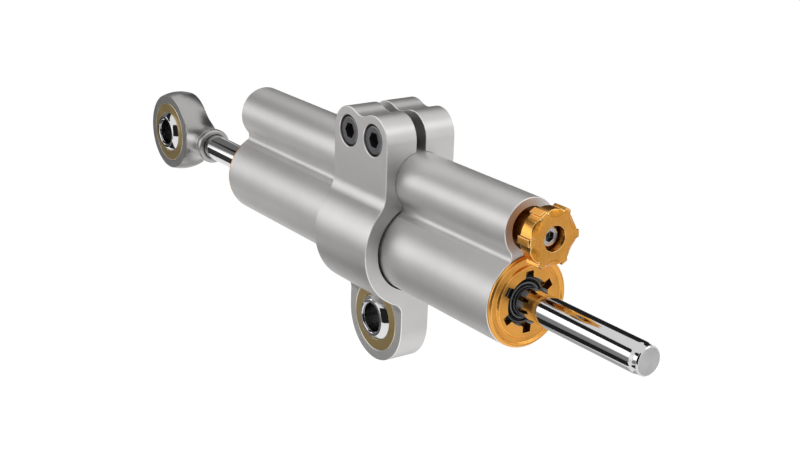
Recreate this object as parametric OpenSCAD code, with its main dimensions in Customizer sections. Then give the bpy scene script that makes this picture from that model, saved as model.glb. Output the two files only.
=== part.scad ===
// Linear steering damper with a through rod, a frame clamp and a click adjuster.
// X runs along the rod, the screw heads face -Y and the valve tube lies above the cylinder.
// The origin is the centre of the bearing in the clamp's lug.

/* [Cylinder] */
// Length of the extruded body, end face to end face
body_len = 127.5; // [110:0.5:150]
// Distance from the clamp's middle to the body's knob end
front_reach = 58.1; // [45:0.1:70]
// Outer radius of the main cylinder
main_r = 12.25; // [12:0.05:13.5]
// Radius of the main bore
main_bore_r = 10; // [9.6:0.05:10.4]
// Outer radius of the valve tube
tube_r = 7.9; // [7.4:0.05:8.4]
// Radius of the valve tube's bore at both ends
tube_bore_r = 5.6; // [5.5:0.05:6]
// Radius of the oil passage between the two ends of the valve tube
passage_r = 4; // [3:0.1:4.6]
// Distance between the axes of the main cylinder and the valve tube
axis_gap = 18.85; // [18:0.05:20]
// Angle on the main cylinder where the flat side web leaves it
web_angle = 45; // [41:1:50]
// Angle by which the web leans in from the cylinder's tangent
web_lean = 2; // [1:0.5:4]
// Length of the flat side web up to its crease
web_len = 4.4; // [3.8:0.1:4.8]
// Radius of the hollow between the web's crease and the valve tube
web_fillet = 2.2; // [1.8:0.1:3]
// Radius of the oil ports between the two bores
port_r = 1; // [0.6:0.1:1.4]
// Distance of each oil port from the end of the oil chamber
port_inset = 1.8; // [1.5:0.1:2.2]

/* [Glands] */
// Radius of the gland's flange
cap_r = 12.1; // [11.6:0.05:12.2]
// Thickness of the gland's flange
cap_t = 1; // [0.8:0.1:1.6]
// Chamfer on the flange's rim
cap_chamfer = 0.5; // [0.2:0.1:0.7]
// Inner radius of the ring groove in the flange's face
cap_ring_r = 9.2; // [8.8:0.1:9.6]
// Width of the ring groove in the flange's face
cap_ring_w = 1.9; // [1:0.1:2]
// Depth of the ring groove in the flange's face
cap_ring_d = 0.55; // [0.3:0.05:0.6]
// Length of the gland's spigot in the bore
gland_len = 22.4; // [21:0.1:26]
// Radius of the seal pocket
pocket_r = 5.75; // [5.5:0.05:6.2]
// Depth of the wiper's top below the flange's face
wiper_recess = 1.4; // [1:0.1:2]
// Height of the wiper
wiper_h = 3.2; // [2.8:0.1:3.6]
// Thickness of the washer between wiper and rod seal
washer_t = 0.8; // [0.5:0.1:1.2]
// Height of the rod seal
seal_h = 3.6; // [3.2:0.1:4]
// Number of wrench slots round the seal pocket
slot_n = 6; // [4:1:8]
// Radius that the wrench slots reach
slot_r = 8.1; // [7.4:0.1:8.6]
// Width of a wrench slot
slot_w = 2.3; // [1.6:0.1:2.6]
// Depth of a wrench slot
slot_d = 2.4; // [1.6:0.1:3]
// Outer radius of the rod bush
bush_r = 5; // [4.8:0.05:5.4]
// Length of the rod bush
bush_len = 10; // [8:0.5:10]
// Thickness of the web between rod seal and rod bush
gland_web = 2; // [1.5:0.1:2.4]
// Distance of the gland's O-ring from the body's end face
gland_ring_x = 13; // [10:0.5:15]
// Radius of the cord of the gland's O-rings
gland_cord_r = 0.75; // [0.6:0.05:0.9]

/* [Rod and piston] */
// Radius of the rod
rod_r = 4; // [3.8:0.05:4.2]
// Length of rod that shows between the body's gland and the rod end
rod_gap = 30.5; // [30:0.5:40]
// Length of rod that stands out at the knob end
rod_reach = 42.1; // [41:0.1:50]
// Radius of the nose at the rod's free end
nose_r = 3.75; // [3.5:0.05:3.8]
// Length of the nose
nose_len = 1.5; // [1:0.1:2.5]
// Length of the taper between the nose and the full rod
nose_taper = 1.2; // [0.6:0.1:2]
// Chamfer on the nose
rod_chamfer = 0.35; // [0.2:0.05:0.6]
// Radius of the rod's threaded stub
stub_r = 3; // [2.5:0.1:3.2]
// Length of the rod's threaded stub
stub_len = 7; // [5:0.5:8]
// Length of the piston
piston_len = 14; // [12:0.5:14]
// Distance of the piston from mid stroke in the drawn pose
piston_shift = 5; // [3:0.1:5]
// Width of the piston's guide band
band_w = 6; // [4:0.5:7]
// Thickness of the piston's guide band
band_t = 1.1; // [0.8:0.1:1.4]
// Thickness of the snap rings that hold the piston
snap_t = 0.9; // [0.7:0.1:1.1]
// Depth of the rod's snap ring grooves
snap_depth = 0.45; // [0.3:0.05:0.6]
// Radial width of the snap rings
snap_w = 1.1; // [0.9:0.1:1.3]
// Radius of the cord of the O-ring between piston and rod
piston_cord_r = 0.6; // [0.5:0.05:0.7]

/* [Bearing eyes] */
// Distance from the rod end's collar to the centre of its eye
eye_reach = 24.2; // [23.5:0.1:27]
// Radius of the rod end's spherical head
head_r = 13.1; // [12.4:0.1:13.6]
// Width of both eyes across their flat faces
eye_w = 9; // [8:0.1:10]
// Outer radius of the bearing races
race_r = 9.7; // [9.4:0.05:10]
// Radius of the bearing balls
ball_r = 7.94; // [7.7:0.02:8.2]
// Width of the bearing balls
ball_w = 12; // [11.4:0.1:12.4]
// Radius of the bolt hole through each ball
bolt_r = 4; // [3.5:0.05:4.2]
// Chamfer on the balls' bolt holes
bolt_chamfer = 0.5; // [0.2:0.1:0.7]
// Radius of the rod end's collar
collar_r = 5.6; // [5.4:0.1:6]
// Length of the rod end's collar
collar_len = 2.6; // [2:0.1:3.2]
// Radius of the neck's waist behind the collar
neck_r = 5.3; // [4.9:0.1:5.5]
// Radius of the hollow that blends the neck into the head
neck_blend = 16; // [14:0.5:18]
// Distance from the eye's centre at which its flats start to run out
flat_run = 11; // [10.6:0.1:11.6]
// Radius of the cutter that mills the flats
flat_mill_r = 7; // [6:0.5:9]
// Depth of the rod's seat in the collar
rod_seat = 2.4; // [1.5:0.1:2.8]

/* [Clamp] */
// Width of the clamp along the cylinder
clamp_w = 25; // [24.4:0.1:26]
// Wall of the clamp's ring round the main cylinder
ring_wall = 4.75; // [4.4:0.05:5.4]
// Wall of the clamp beside the valve tube
ear_wall = 3.1; // [2.9:0.1:4]
// Width of the slot between the ears
ear_slot = 3; // [2:0.1:3.4]
// Radius of the ears' rounded tops, one round each clamp screw
ear_r = 6.75; // [6.4:0.05:7]
// Wall between the valve tube and the screw holes
screw_wall = 0.25; // [0.2:0.05:0.5]
// Radius of the dip between the two rounded tops of an ear
dip_r = 6.6; // [5:0.1:8]
// Radius of the hollow between ring and ears
shoulder_r = 6; // [4:0.5:7]
// Radius of the hollow between ring and lug
lug_fillet = 3.5; // [2.5:0.1:4]
// Distance from the main cylinder's axis down to the lug's bearing
lug_drop = 23.7; // [23:0.1:25]
// Sideways relief of the clamp's main bore at each side
bore_relief = 0.6; // [0.2:0.1:0.9]

/* [Clamp screws] */
// Radius of the screws' threaded shank
screw_r = 2.5; // [2.3:0.1:2.6]
// Length of the shank below the head
screw_len = 15.5; // [14:0.5:16]
// Radius of the screw heads
screw_head_r = 4.1; // [3.9:0.05:4.2]
// Height of the screw heads
screw_head_h = 5; // [4.5:0.1:5]
// Width across flats of the hexagon socket
screw_socket = 4; // [3.5:0.1:4.5]
// Depth of the hexagon socket
screw_socket_d = 2.6; // [2:0.1:3]
// Radial room round a screw head in its counterbore
head_gap = 0.27; // [0.1:0.01:0.3]
// Depth of a screw head below the clamp's face
head_sink = 0.3; // [0.1:0.1:0.5]

/* [Adjuster] */
// Radius over the tips of the knob's lobes
knob_r = 8; // [7.6:0.1:8.4]
// Radius of the knob between its lobes
knob_waist_r = 7.2; // [6.8:0.1:7.4]
// Number of lobes on the knob
knob_lobes = 6; // [5:1:7]
// Width of a lobe
knob_lobe_w = 1.9; // [1.6:0.1:2.4]
// Radius of the bites between the lobes, at the knob's face
knob_bite_r = 4.05; // [3.6:0.05:4.1]
// Radius of the circle on which the bites are centred
knob_bite_at = 9.45; // [9.3:0.05:9.7]
// Depth at which a bite leaves the knob's side
knob_bite_d = 1; // [0.8:0.1:1.4]
// Thickness of the knob's head
knob_t = 4.7; // [3.5:0.1:6]
// Gap between the knob's head and the end of the valve tube
knob_gap = 4.4; // [3:0.1:6]
// Radial room between the knob's barrel and the tube's bore
barrel_gap = 1.5; // [0.5:0.1:1.9]
// Length of the knob's barrel inside the tube
barrel_in = 2.5; // [1.5:0.1:3]
// Radius of the recess for the knob's screw
recess_r = 3.25; // [3:0.05:3.6]
// Depth of the recess for the knob's screw
recess_d = 4.9; // [4:0.1:5]
// Radius of the knob screw's head
knob_head_r = 2.75; // [2.5:0.05:2.9]
// Height of the knob screw's head
knob_head_h = 3; // [2:0.1:3.2]
// Radius of the knob screw's shank
knob_screw_r = 1.5; // [1.2:0.1:1.6]
// Length of the knob screw's shank
knob_screw_len = 6; // [5:0.5:7]
// Width across flats of the knob screw's socket
knob_socket = 2.5; // [2:0.1:2.8]
// Radius of the adjuster shaft
shaft_r = 2.5; // [2.4:0.05:2.7]
// Thickness of the knob's floor between its screw and the shaft
knob_floor = 0.8; // [0.6:0.1:1]
// Distance from the shaft's axis to its driving flat
shaft_flat = 2.05; // [1.9:0.05:2.2]
// Radius of the shaft's flange
flange_r = 4.4; // [4.2:0.05:4.5]
// Thickness of the shaft's flange
flange_t = 1.5; // [1.2:0.1:2]
// Length of the shaft's nut below the flange
nut_len = 5; // [4:0.1:6]
// Radius of the shaft's nut
nut_r = 3.2; // [2.8:0.1:3.4]
// Length of the adjuster bush
adjust_len = 12.3; // [11.5:0.1:14]
// Depth of the bush's bearing on the shaft
adjust_bearing = 5.4; // [5.2:0.1:6]
// Radius of the needle's thread
needle_r = 1.5; // [1.3:0.1:1.6]
// Radius of the needle's stem
stem_r = 1.1; // [0.9:0.05:1.2]
// Radius of the needle's key
key_r = 3.2; // [2.8:0.1:3.3]
// Distance from the needle's axis to its key's flats
key_flat = 2.3; // [2:0.1:2.5]
// Length of the needle's key
key_len = 2.5; // [2:0.1:3]
// Travel of the needle each way
needle_travel = 0.4; // [0.3:0.05:0.8]
// Length of the valve seat's land behind its cone
seat_land = 4.5; // [4:0.1:5]
// Radius of the orifice in the valve seat
orifice_r = 0.9; // [0.8:0.05:1]
// Radius of the bore round the needle's stem
seat_bore_r = 1.6; // [1.5:0.1:1.9]
// Radius of the detent ball
detent_r = 0.72; // [0.6:0.02:0.74]
// Radius of the circle on which the detent ball lies
detent_at = 3.8; // [3.7:0.05:3.8]
// Number of detent dimples
detent_n = 16; // [12:1:16]
// Length of the detent's spring pocket
detent_pocket = 2.6; // [2.4:0.1:2.8]
// Radius of the cord of the small O-rings
small_cord_r = 0.5; // [0.4:0.05:0.55]

/* [Compensator] */
// Depth of the circlip from the tube's end
clip_inset = 0.9; // [0.6:0.1:1.5]
// Thickness of the circlip
clip_t = 0.8; // [0.6:0.1:1]
// Depth of the circlip's groove
clip_depth = 0.5; // [0.4:0.05:0.6]
// Radial width of the circlip
clip_w = 1.1; // [0.9:0.1:1.3]
// Length of the reservoir plug
plug_len = 5; // [4:0.1:5.4]
// Length of the separator piston
separator_len = 5.4; // [4.5:0.1:5.4]
// Distance between separator and oil port
separator_gap = 1.45; // [1.3:0.05:1.6]
// Radius of the separator's spring spigot
spigot_r = 2.8; // [2.2:0.1:3]
// Length of the separator's spring spigot
spigot_len = 2; // [1:0.1:2.5]
// Radius of the spring's wire
spring_wire_r = 0.45; // [0.35:0.05:0.5]
// Mean radius of the spring's coils
spring_r = 4.3; // [4:0.1:4.6]
// Turns of the compensator spring
spring_turns = 5; // [4:1:6]

/* [Clearances] */
// Radial running clearance of rod, balls, shaft and sliding pistons
run_gap = 0.03; // [0.02:0.01:0.06]
// Radial clearance of the piston's metal in the bore, which its guide band bridges
piston_gap = 0.1; // [0.08:0.01:0.2]
// Radial clearance of pieces that seat in one another
seat_gap = 0.02; // [0.01:0.01:0.03]
// Clearance between the clamp and the body
clamp_gap = 0.04; // [0.03:0.01:0.08]
// Radial room round the rod in glands and washers
rod_room = 0.25; // [0.2:0.05:0.4]
// Radial room round screw shanks
screw_room = 0.1; // [0.05:0.05:0.2]
// Axial room between the knob's barrel and the adjuster bush
barrel_room = 0.2; // [0.1:0.05:0.4]
// Axial play of captive pieces
end_play = 0.05; // [0.03:0.01:0.1]

/* [Hidden] */
$fn = 96;

cut = 1; // how far a cutter runs past a face
blend = 0.01; // how far a hollow's circle cuts into what it blends with
root = 1; // how deep a web or blend is rooted in what carries it
groove_w = 2.6; // width of an O-ring's groove in radii of its cord
groove_d = 1.8; // depth of an O-ring's groove in radii of its cord
cord_at = 0.9; // middle of a fitted cord above the groove's floor, in radii of the cord
cord_fit = 0.87; // share of the cord's radius that a fitted, squeezed ring keeps
main_z = lug_drop;
tube_z = main_z + axis_gap;
body_x1 = front_reach;
body_x0 = front_reach - body_len;
body_mid = (body_x0 + body_x1) / 2;
chamber_x0 = body_x0 + gland_len;
chamber_x1 = body_x1 - gland_len;
port_x0 = chamber_x0 + port_inset;
port_x1 = chamber_x1 - port_inset;
piston_x = body_mid + piston_shift;
collar_x = body_x0 - cap_t - rod_gap;
rod_x0 = collar_x - rod_seat;
rod_x1 = body_x1 + cap_t + rod_reach;
eye_x = collar_x - eye_reach;
ring_r = main_r + ring_wall;
ear_y = tube_r + ear_wall;
screw_z = tube_z + tube_r + clamp_gap + screw_wall + screw_r;
screw_pitch = clamp_w - 2 * ear_r;
head_bore_r = screw_head_r + head_gap;
head_seat_y = -ear_y + head_sink + screw_head_h;
wiper_z = cap_t - wiper_recess - wiper_h;
washer_z = wiper_z - washer_t;
seal_z = washer_z - seal_h;
bush_z = seal_z - gland_web;
head_z = knob_gap;
recess_z = head_z + knob_t - recess_d;
barrel_r = tube_bore_r - barrel_gap;
adjust_z1 = -barrel_in - barrel_room;
adjust_z0 = adjust_z1 - adjust_len;
bearing_z = adjust_z1 - adjust_bearing;
flange_z = bearing_z - end_play - flange_t;
nut_z = flange_z - nut_len;
key_z = adjust_z0 - 2 * needle_travel - key_len;
key_pocket_z = key_z - 2 * needle_travel;
seat_port_z = port_x1 - body_x1;
cone_z = seat_port_z - 2.2 * port_r;
seat_z = cone_z - seat_land;
seat_ring_z = seat_z + 0.4 * seat_land;
step_x1 = body_x1 + seat_z;
step_x0 = port_x0 + 1.8 * port_r;
clip_x = body_x0 + clip_inset;
plug_x = clip_x + clip_t;
separator_x = port_x0 - port_r - separator_gap - separator_len;
spring_x0 = plug_x + plug_len;
spring_x1 = separator_x;

// Turns local z into +X at the given place.
module along_x(x, z) {
    translate([x, 0, z]) rotate([0, 90, 0]) children();
}

// Turns local z into -X at the given place.
module against_x(x, z) {
    translate([x, 0, z]) rotate([0, -90, 0]) children();
}

// Extrudes an outline drawn in Y and Z along X.
module yz_extrude(x, length) {
    translate([x, 0, 0]) rotate([90, 0, 90]) linear_extrude(length) children();
}

// Extrudes an outline drawn in X and Z along Y, centred on the middle plane.
module xz_extrude(length) {
    translate([0, length / 2, 0]) rotate([90, 0, 0]) linear_extrude(length) children();
}

// A ring or tube standing on z = 0.
module tube(outer, inner, height) {
    difference() {
        cylinder(r = outer, h = height);
        translate([0, 0, -cut]) cylinder(r = inner, h = height + 2 * cut);
    }
}

// An O-ring lying with its middle at z = 0.
module o_ring(middle, cord) {
    rotate_extrude() translate([middle, 0]) circle(r = cord, $fn = 32);
}

// A round screw head standing on z = 0, chamfered at its top.
module rounded_head(radius, height, edge) {
    cylinder(r = radius, h = height - edge);
    translate([0, 0, height - edge]) cylinder(r1 = radius, r2 = radius - edge, h = edge);
}

// A blind hexagon socket cut down from z = 0.
module hex_socket(flats, depth) {
    translate([0, 0, -depth]) cylinder(r = flats / sqrt(3), h = depth + cut, $fn = 6);
}

// A round bar along z with flats on two sides.
module flatted(radius, flat, height) {
    intersection() {
        cylinder(r = radius, h = height);
        translate([-flat, -2 * radius, 0]) cube([2 * flat, 4 * radius, height]);
    }
}

// A round bar along z with a flat on its +X side.
module d_shaft(radius, flat, height) {
    intersection() {
        cylinder(r = radius, h = height);
        translate([-2 * radius, -2 * radius, 0]) cube([2 * radius + flat, 4 * radius, height]);
    }
}

// Where the circle about q with radius s meets the circle about p with radius r, on the +Y side.
function meet(p, r, q, s) =
    let (d = norm(q - p), a = (d * d + r * r - s * s) / (2 * d), h = sqrt(r * r - a * a), u = (q - p) / d)
    let (m = p + a * u, one = m + h * [u[1], -u[0]], two = m - h * [u[1], -u[0]])
    one[0] > two[0] ? one : two;

// First place on the line p + s * u that lies at distance r from q.
function reach(p, u, q, r) =
    let (w = p - q, b = w * u, c = w * w - r * r)
    p + (-b - sqrt(b * b - c)) * u;

web_dir = [-sin(web_angle + web_lean), cos(web_angle + web_lean)];
web_foot = main_r * [cos(web_angle), sin(web_angle)];
web_crease = web_foot + web_len * web_dir;
fillet_at = meet([0, axis_gap], tube_r + web_fillet, web_crease, web_fillet);

// Half outline of the side web, grown by a clearance.
module web_half(gap) {
    foot = web_foot + gap * [web_dir[1], -web_dir[0]] + main_r * sin(web_lean) * web_dir;
    crease = reach(foot, web_dir, fillet_at, web_fillet - gap);
    tangent = [0, axis_gap] + (fillet_at - [0, axis_gap]) * (tube_r - root) / (tube_r + web_fillet);
    difference() {
        polygon([[0, 0], foot, crease + blend * web_dir, fillet_at, tangent, [0, axis_gap]]);
        translate(fillet_at) circle(r = web_fillet - gap);
    }
}

// Outline of the body, main cylinder at the origin and tube above, grown by a clearance.
module body_outline(gap) {
    circle(r = main_r + gap);
    translate([0, axis_gap]) circle(r = tube_r + gap);
    web_half(gap);
    mirror([1, 0]) web_half(gap);
}

// A bar that runs up from the ring's centre, with a hollow of the given radius at each side of its root.
module rooted_bar(half, radius, length) {
    y = half + radius - blend;
    z = sqrt(pow(ring_r + radius - blend, 2) - y * y);
    difference() {
        polygon([[0, 0], [y, z], [half, z], [half, length], [-half, length], [-half, z], [-y, z]]);
        for (side = [-1, 1]) translate([side * y, z]) circle(r = radius);
    }
}

// Outline of the clamp seen along the cylinder: ring, ears above and lug below.
module clamp_outline() {
    translate([0, main_z]) {
        circle(r = ring_r);
        rooted_bar(ear_y, shoulder_r, screw_z - main_z + ear_r + cut);
        mirror([0, 1]) rooted_bar(eye_w / 2, lug_fillet, main_z + clamp_w);
    }
}

// Outline of the clamp seen from the screw side: round lug below, two rounded tops above.
module clamp_face() {
    half = screw_pitch / 2;
    dip = sqrt(pow(ear_r + dip_r - blend, 2) - half * half);
    circle(r = clamp_w / 2);
    translate([-clamp_w / 2, 0]) square([clamp_w, screw_z]);
    translate([0, screw_z]) {
        for (side = [-1, 1]) translate([side * half, 0]) circle(r = ear_r);
        difference() {
            polygon([[-half, 0], [0, -ear_r], [half, 0], [0, dip]]);
            translate([0, dip]) circle(r = dip_r);
        }
    }
}

module clamp_bracket() {
    color("silver")
    difference() {
        intersection() {
            yz_extrude(-clamp_w / 2, clamp_w) clamp_outline();
            xz_extrude(4 * ring_r) clamp_face();
        }
        yz_extrude(-clamp_w, 2 * clamp_w) translate([0, main_z]) body_outline(clamp_gap);
        for (side = [-1, 1]) along_x(-clamp_w, main_z)
            translate([0, side * bore_relief, 0]) cylinder(r = main_r + clamp_gap, h = 2 * clamp_w);
        translate([-clamp_w, -ear_slot / 2, tube_z]) cube([2 * clamp_w, ear_slot, 4 * ear_r]);
        rotate([90, 0, 0]) cylinder(r = race_r, h = 4 * ring_r, center = true);
        for (side = [-1, 1]) translate([side * screw_pitch / 2, 0, screw_z]) rotate([-90, 0, 0]) {
            translate([0, 0, -ear_y - cut]) cylinder(r = head_bore_r, h = head_seat_y + ear_y + cut);
            translate([0, 0, -ear_y]) cylinder(r = screw_r + seat_gap, h = 2 * ear_y + cut);
        }
    }
}

// Two socket head screws, heads towards -Y.
module clamp_screws() {
    edge = 0.5;
    color("dimgray")
    for (side = [-1, 1]) translate([side * screw_pitch / 2, head_seat_y, screw_z]) rotate([90, 0, 0])
        difference() {
            union() {
                translate([0, 0, -screw_len]) cylinder(r = screw_r, h = screw_len + cut);
                rounded_head(screw_head_r, screw_head_h, edge);
            }
            translate([0, 0, screw_head_h]) hex_socket(screw_socket, screw_socket_d);
        }
}

// Outer race with a spherical seat, axis along Y.
module race() {
    color("goldenrod")
    rotate([90, 0, 0]) rotate_extrude() difference() {
        translate([bolt_r, -eye_w / 2]) square([race_r - seat_gap - bolt_r, eye_w]);
        circle(r = ball_r + run_gap);
    }
}

// Ball with a bolt hole, axis along Y.
module ball() {
    half = ball_w / 2;
    color("gainsboro")
    rotate([90, 0, 0]) rotate_extrude() difference() {
        intersection() {
            circle(r = ball_r);
            translate([bolt_r, -half]) square([ball_r, ball_w]);
        }
        for (side = [0, 1]) mirror([0, side])
            polygon([[0, half - bolt_chamfer], [bolt_r, half - bolt_chamfer],
                [bolt_r + 2 * bolt_chamfer, half + bolt_chamfer], [0, half + bolt_chamfer]]);
    }
}

module lug_race() {
    race();
}

module lug_ball() {
    ball();
}

module rod_end_race() {
    translate([eye_x, 0, main_z]) race();
}

module rod_end_ball() {
    translate([eye_x, 0, main_z]) ball();
}

module damper_body() {
    color("silver")
    difference() {
        yz_extrude(body_x0, body_len) translate([0, main_z]) body_outline(0);
        along_x(body_x0 - cut, main_z) cylinder(r = main_bore_r, h = body_len + 2 * cut);
        along_x(body_x0 - cut, tube_z) cylinder(r = passage_r, h = body_len + 2 * cut);
        along_x(step_x1, tube_z) cylinder(r = tube_bore_r, h = body_len);
        against_x(step_x0, tube_z) cylinder(r = tube_bore_r, h = body_len);
        along_x(clip_x, tube_z) cylinder(r = tube_bore_r + clip_depth, h = clip_t);
        for (x = [port_x0, port_x1]) translate([x, 0, main_z + main_bore_r - cut])
            cylinder(r = port_r, h = axis_gap - main_bore_r - passage_r + 2 * cut);
    }
}

// Gland on its own axis, z = 0 on the body's end face and +z outwards.
module gland() {
    groove_len = groove_w * gland_cord_r;
    face_r = cap_r - cap_chamfer;
    ring_out = min(cap_ring_r + cap_ring_w, face_r - 0.2);
    slope = 0.4;
    lead = 0.5;
    spigot_out = main_bore_r - seat_gap;
    color("goldenrod")
    difference() {
        rotate_extrude() polygon([[rod_r + rod_room, -gland_len], [spigot_out - lead, -gland_len],
            [spigot_out, -gland_len + lead], [spigot_out, 0], [cap_r, 0], [cap_r, cap_t - cap_chamfer],
            [face_r, cap_t], [ring_out, cap_t], [ring_out - slope, cap_t - cap_ring_d],
            [cap_ring_r + slope, cap_t - cap_ring_d], [cap_ring_r, cap_t], [rod_r + rod_room, cap_t]]);
        translate([0, 0, seal_z]) cylinder(r = pocket_r, h = cap_t - seal_z + cut);
        translate([0, 0, -gland_len - cut]) cylinder(r = bush_r, h = gland_len + bush_z + cut);
        translate([0, 0, -gland_ring_x]) difference() {
            cylinder(r = main_bore_r + cut, h = groove_len, center = true);
            cylinder(r = main_bore_r - groove_d * gland_cord_r, h = groove_len, center = true);
        }
        for (i = [0 : slot_n - 1]) rotate([0, 0, i * 360 / slot_n])
            translate([0, -slot_w / 2, cap_t - slot_d]) cube([slot_r, slot_w, slot_d + cut]);
    }
}

// Scraper ring standing on z = 0: one lip on the rod, one in the gland and a valley between them.
module wiper() {
    inner = rod_r + run_gap;
    outer = pocket_r - seat_gap;
    lip = 0.35;
    valley = 0.65;
    color("#202020")
    rotate_extrude() polygon([[inner + lip, 0], [outer, 0], [outer, 0.8 * wiper_h],
        [outer - lip / 2, wiper_h], [outer - 1.5 * lip, wiper_h], [inner + valley, 0.55 * wiper_h],
        [inner + lip, wiper_h], [inner, wiper_h - 0.7 * lip], [inner + lip, 0.4 * wiper_h]]);
}

// Lip seal that opens towards the oil, standing on z = 0.
module rod_seal() {
    inner = rod_r + run_gap;
    outer = pocket_r - seat_gap;
    middle = (inner + outer) / 2;
    lip = 0.3;
    color("#303030")
    rotate_extrude() polygon([[inner, 0], [middle - lip, 0], [middle, seal_h * 0.45], [middle + lip, 0],
        [outer, 0], [outer, seal_h], [inner + lip, seal_h], [inner + lip, seal_h * 0.4]]);
}

module front_gland() {
    along_x(body_x1, main_z) gland();
}

module rear_gland() {
    against_x(body_x0, main_z) gland();
}

module front_wiper() {
    along_x(body_x1 + wiper_z, main_z) wiper();
}

module rear_wiper() {
    against_x(body_x0 - wiper_z, main_z) wiper();
}

// Draws a piece in both glands.
module in_both_glands(z) {
    along_x(body_x1 + z, main_z) children();
    against_x(body_x0 - z, main_z) children();
}

module rod_seals() {
    in_both_glands(seal_z) rod_seal();
}

module seal_washers() {
    color("gray")
    in_both_glands(washer_z) tube(pocket_r - seat_gap, rod_r + rod_room, washer_t);
}

module rod_bushes() {
    color("peru")
    in_both_glands(bush_z - bush_len) tube(bush_r - seat_gap, rod_r + run_gap, bush_len);
}

module gland_o_rings() {
    color("#202020")
    in_both_glands(-gland_ring_x) o_ring(main_bore_r - cord_at * gland_cord_r, cord_fit * gland_cord_r);
}

// Distance from the piston's middle to the middle of each snap ring
snap_at = piston_len / 2 - snap_t / 2 - end_play;

module piston_rod() {
    length = rod_x1 - rod_x0;
    color("gainsboro")
    difference() {
        union() {
            along_x(rod_x0 - stub_len, main_z) cylinder(r = stub_r, h = stub_len + cut);
            along_x(rod_x0, main_z) rotate_extrude() polygon([[0, 0], [rod_r, 0],
                [rod_r, length - nose_len - nose_taper], [nose_r, length - nose_len],
                [nose_r, length - rod_chamfer], [nose_r - rod_chamfer, length], [0, length]]);
        }
        for (side = [-1, 1]) along_x(piston_x + side * snap_at, main_z) difference() {
            cylinder(r = rod_r + cut, h = snap_t + end_play, center = true);
            cylinder(r = rod_r - snap_depth, h = snap_t + end_play, center = true);
        }
    }
}

module snap_rings() {
    ring_out = rod_r - snap_depth + seat_gap + snap_w;
    color("dimgray")
    for (side = [-1, 1]) along_x(piston_x + side * snap_at - snap_t / 2, main_z) difference() {
        tube(ring_out, rod_r - snap_depth + seat_gap, snap_t);
        translate([0, -snap_w / 2, -cut]) cube([2 * ring_out, snap_w, snap_t + 2 * cut]);
    }
}

module piston() {
    half = piston_len / 2;
    outer = main_bore_r - piston_gap;
    inner = rod_r + run_gap;
    edge = 1;
    land = band_w / 2 + end_play;
    floor_r = outer - band_t;
    seat = half - snap_t - 2 * end_play;
    seat_r = rod_r - snap_depth + snap_w + 0.3;
    color("darkgoldenrod")
    along_x(piston_x, main_z) difference() {
        rotate_extrude() polygon([[inner, -seat], [seat_r, -seat], [seat_r, -half], [outer - edge, -half],
            [outer, edge - half], [outer, -land], [floor_r, -land], [floor_r, land], [outer, land],
            [outer, half - edge], [outer - edge, half], [seat_r, half], [seat_r, seat], [inner, seat]]);
        cylinder(r = rod_r + 1.9 * piston_cord_r, h = groove_w * piston_cord_r, center = true);
    }
}

module piston_band() {
    inner = main_bore_r - piston_gap - band_t + seat_gap;
    color("saddlebrown")
    along_x(piston_x - band_w / 2, main_z) tube(main_bore_r - run_gap, inner, band_w);
}

module piston_o_ring() {
    color("#202020")
    along_x(piston_x, main_z) o_ring(rod_r + run_gap + 0.93 * piston_cord_r, 0.9 * piston_cord_r);
}

// Outline of collar and neck, along z from the collar's mouth to the centre of the eye.
module neck_profile() {
    out = neck_r + neck_blend - blend;
    hollow_z = eye_reach - sqrt(pow(head_r + neck_blend - blend, 2) - out * out);
    edge = 0.3 * collar_len;
    bevel = 0.3 * edge;
    polygon([[0, 0], [collar_r - edge, 0], [collar_r - bevel, bevel], [collar_r, edge],
        [collar_r, collar_len - edge], [collar_r - bevel, collar_len - bevel],
        [collar_r - edge, collar_len], [neck_r, collar_len + bevel], [neck_r, hollow_z], [0, hollow_z]]);
    difference() {
        polygon([[0, hollow_z - cut], [neck_r, hollow_z - cut], [neck_r, hollow_z], [out, hollow_z],
            [0, eye_reach]]);
        translate([out, hollow_z]) circle(r = neck_blend);
    }
}

// One of the milled flats of the eye, which runs out on a radius towards the neck.
module eye_flat() {
    translate([eye_x, 0, main_z - 2 * head_r]) linear_extrude(4 * head_r) {
        translate([-2 * head_r, eye_w / 2]) square([2 * head_r + flat_run, 2 * head_r]);
        translate([flat_run, eye_w / 2 + flat_mill_r]) circle(r = flat_mill_r);
    }
}

module rod_end() {
    mouth_r = rod_r + 0.4;
    mouth_d = 1;
    stub_room = 0.5;
    color("silver")
    difference() {
        union() {
            translate([eye_x, 0, main_z]) sphere(r = head_r);
            against_x(collar_x, main_z) rotate_extrude() neck_profile();
        }
        for (side = [0, 1]) mirror([0, side, 0]) eye_flat();
        translate([eye_x, 0, main_z]) rotate([90, 0, 0]) cylinder(r = race_r, h = 4 * head_r, center = true);
        along_x(rod_x0, main_z) cylinder(r = rod_r + seat_gap, h = 2 * eye_reach);
        along_x(rod_x0 - stub_len - stub_room, main_z) cylinder(r = stub_r + seat_gap, h = stub_len + cut);
        against_x(collar_x + cut, main_z)
            cylinder(r1 = mouth_r + cut, r2 = mouth_r - mouth_d, h = cut + mouth_d);
    }
}

// Disc with broken edges, standing on z = 0.
module knob_disc(radius) {
    edge = 0.4;
    rotate_extrude() polygon([[0, 0], [radius - edge, 0], [radius, edge], [radius, knob_t - edge],
        [radius - edge, knob_t], [0, knob_t]]);
}

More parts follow.
